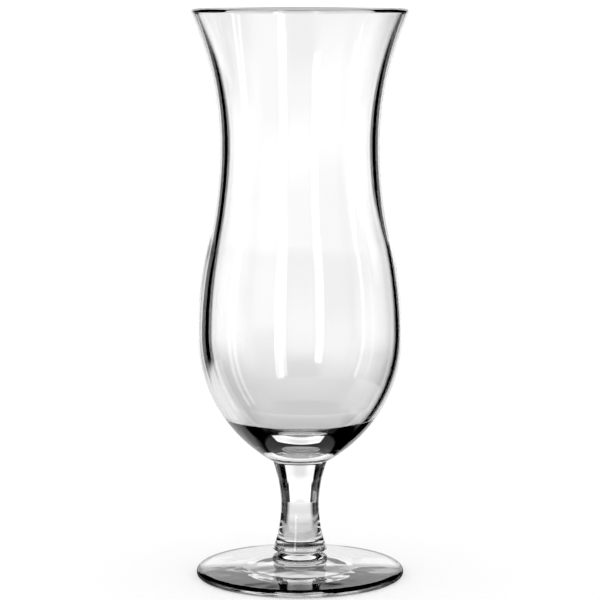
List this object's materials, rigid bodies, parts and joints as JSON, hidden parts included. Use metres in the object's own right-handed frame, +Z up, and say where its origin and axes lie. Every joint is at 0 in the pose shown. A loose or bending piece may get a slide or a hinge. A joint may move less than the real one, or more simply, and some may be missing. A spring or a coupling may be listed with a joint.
{
  "type": "cocktail glass",
  "caption": "Clear stemmed cocktail glass with a flared rim, drawn-in waist, full belly, short hourglass stem and round foot, for long mixed drinks.",
  "frame": {"origin": "centre of the plane that the foot stands on", "axes": "+Z up along the axis that all pieces are turned about"},
  "size_m": [0.0792, 0.0792, 0.21],
  "materials": {
    "bowl_glass": "clear, flame polished",
    "stem_glass": "clear, flame polished",
    "foot_glass": "clear, flame polished"
  },
  "bodies": {
    "root": {"bowl": "bowl_glass", "stem": "stem_glass", "foot": "foot_glass"}
  },
  "joints": []
}
